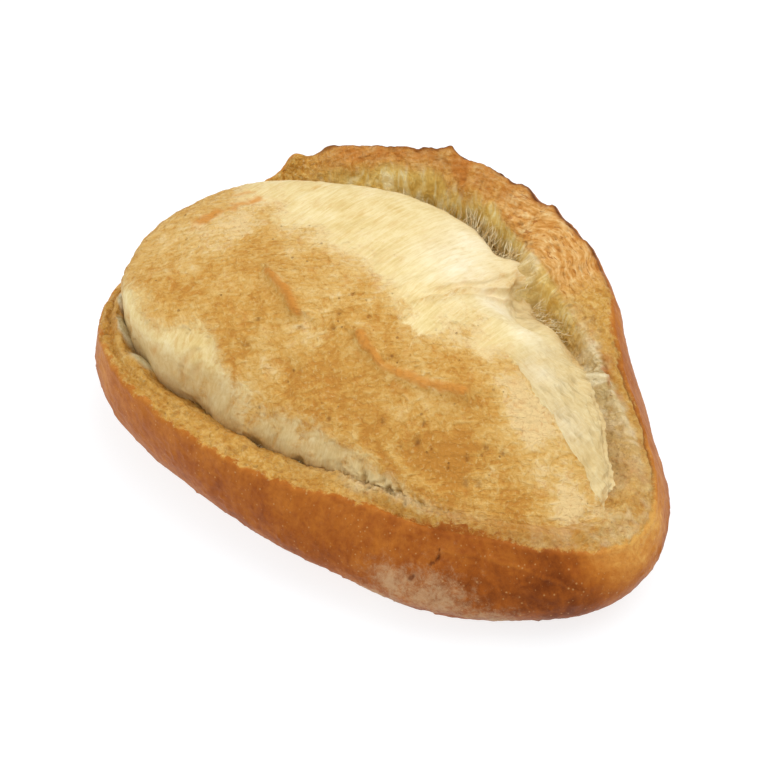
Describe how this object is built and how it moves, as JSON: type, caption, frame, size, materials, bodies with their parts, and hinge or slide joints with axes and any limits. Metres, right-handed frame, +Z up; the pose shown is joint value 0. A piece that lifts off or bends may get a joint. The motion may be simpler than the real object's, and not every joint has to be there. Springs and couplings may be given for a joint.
{
  "type": "rustic italian bread loaf",
  "caption": "Rustic oval bread loaf with a split top, a pale inner dome, a high torn ear along one side and a flat base crust.",
  "frame": {"origin": "centre of the loaf's length and width, on the flat base crust", "axes": "+X towards the narrow end, +Y towards the side with the high torn ear, +Z up"},
  "size_m": [0.2622, 0.1798, 0.0989],
  "materials": {
    "crust": "matte baked wheat crust"
  },
  "bodies": {
    "root": {"bread_loaf": "crust"}
  },
  "joints": []
}
